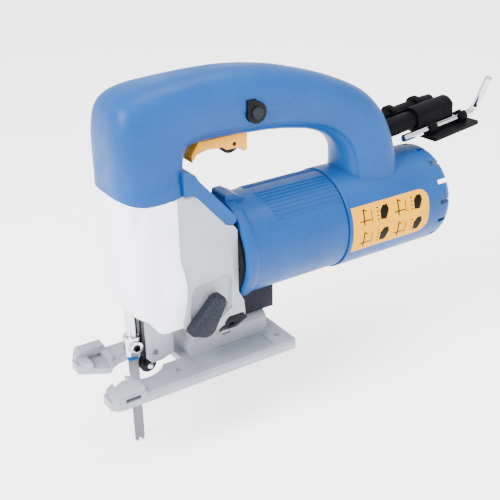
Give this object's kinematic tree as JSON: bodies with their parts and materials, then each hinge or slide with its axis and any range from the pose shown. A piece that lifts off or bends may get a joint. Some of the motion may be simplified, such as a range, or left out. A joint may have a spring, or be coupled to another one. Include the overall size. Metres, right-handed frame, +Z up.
{
  "type": "corded orbital jigsaw",
  "caption": "Corded orbital jigsaw with a D-shaped handle, barrel motor, tilting forked base, back-up roller and a hexagon key held at the cord guard.",
  "frame": {"origin": "centre of the base plate, on its sole plane, with the base square to the blade", "axes": "+X to the rear (motor end), the saw cuts towards -X, +Z up, -Y the tool's left side; the motor, crank and tilt axes are parallel to X and the plunger moves along Z"},
  "size_m": [0.3441, 0.076, 0.2629],
  "materials": {
    "blue_plastic": "fine moulded texture, satin",
    "white_cover": "smooth satin",
    "cast_grey": "painted die casting, satin",
    "base_aluminium": "die cast, bead blasted",
    "black_plastic": "moulded, satin",
    "black_rubber": "soft rubber",
    "grey_plastic": "fine spark texture",
    "yellow_plastic": "semi-gloss",
    "label_film": "printed film",
    "bright_steel": "ground and polished",
    "steel": "machined",
    "blade_steel": "brushed, blued band at the shank",
    "dark_steel": "blackened",
    "copper": "enamelled copper wire and bars",
    "bronze": "sintered bronze",
    "carbon": "pressed carbon"
  },
  "bodies": {
    "housing": {"gear_housing": "cast_grey", "front_cover": "white_cover", "roller_bracket": "cast_grey", "arm_pin": "steel", "gear_axle": "steel", "front_bearing": "steel", "lower_bushing": "bronze", "upper_bushing": "bronze", "handle_left": "blue_plastic", "handle_right": "blue_plastic", "handle_screws": "steel", "cover_screws": "steel", "fan_baffle": "black_plastic", "motor_housing": "blue_plastic", "rear_cover": "blue_plastic", "stator_core": "steel", "field_coils": "copper", "brush_plate": "black_plastic", "brush_holders": "bronze", "carbon_brushes": "carbon", "rear_bearing": "steel", "dust_nozzle": "grey_plastic", "clamp_block": "black_plastic", "clamp_bolt": "steel", "clamp_socket": "dark_steel", "switch_body": "black_plastic", "speed_controller": "black_plastic", "capacitor": "yellow_plastic", "lock_bezel": "black_plastic", "cord_guard": "black_rubber", "key_holder": "black_rubber", "rating_label": "label_film"},
    "armature": {"armature_shaft": "steel", "armature_core": "steel", "armature_windings": "copper", "commutator": "copper", "cooling_fan": "black_plastic"},
    "crank": {"crank_gear": "steel", "crank_pin": "steel", "counterweight": "dark_steel"},
    "plunger": {"plunger_rod": "bright_steel", "plunger_yoke": "steel", "blade_clamp": "bright_steel", "clamp_screw": "dark_steel", "blade": "blade_steel"},
    "roller_arm": {"roller_arm": "dark_steel", "roller_pin": "bright_steel"},
    "roller": {"roller": "dark_steel"},
    "orbital_lever": {"orbital_lever": "grey_plastic", "orbital_shaft": "steel"},
    "base": {"base_plate": "base_aluminium"},
    "trigger": {"trigger": "yellow_plastic"},
    "speed_dial": {"speed_dial": "black_plastic"},
    "lock_button": {"lock_button": "grey_plastic"},
    "hex_key": {"hex_key": "bright_steel"}
  },
  "joints": [
    {"name": "armature_spin", "type": "hinge", "parent": "housing", "child": "armature", "pos_m": [0.09, 0, 0.078], "axis": [1, 0, 0], "continuous": true},
    {"name": "crank_spin", "type": "hinge", "parent": "housing", "child": "crank", "pos_m": [-0.02, 0, 0.105], "axis": [1, 0, 0], "continuous": true},
    {"name": "plunger_stroke", "type": "slide", "parent": "housing", "child": "plunger", "axis": [0, 0, 1], "range_m": [0, 0.02]},
    {"name": "roller_swing", "type": "hinge", "parent": "housing", "child": "roller_arm", "pos_m": [-0.027, 0, 0.017], "axis": [0, -1, 0], "range_deg": [0, 3.5]},
    {"name": "roller_spin", "type": "hinge", "parent": "roller_arm", "child": "roller", "pos_m": [-0.0302, 0, 0.0055], "axis": [0, 1, 0], "continuous": true},
    {"name": "orbital_setting", "type": "hinge", "parent": "housing", "child": "orbital_lever", "pos_m": [0.0005, -0.033, 0.0402], "axis": [0, -1, 0], "range_deg": [0, 60]},
    {"name": "base_tilt", "type": "hinge", "parent": "housing", "child": "base", "pos_m": [0.02, 0, 0.01], "axis": [1, 0, 0], "range_deg": [-45, 45]},
    {"name": "trigger_press", "type": "slide", "parent": "housing", "child": "trigger", "axis": [0, 0, 1], "range_m": [0, 0.005], "stiffness_N_per_m": 400, "springref_m": -0.002},
    {"name": "speed_setting", "type": "hinge", "parent": "trigger", "child": "speed_dial", "pos_m": [0.041, 0, 0.1535], "axis": [0, 1, 0], "range_deg": [-135, 135]},
    {"name": "lock_press", "type": "slide", "parent": "housing", "child": "lock_button", "axis": [0, 1, 0], "range_m": [0, 0.002], "stiffness_N_per_m": 300, "springref_m": -0.002},
    {"name": "key_pull", "type": "slide", "parent": "housing", "child": "hex_key", "axis": [0.9927, 0.1043, 0.061], "range_m": [0, 0.06]}
  ],
  "couplings": [
    {"joint": "crank_spin", "follows": "armature_spin", "ratio": -0.22727}
  ]
}
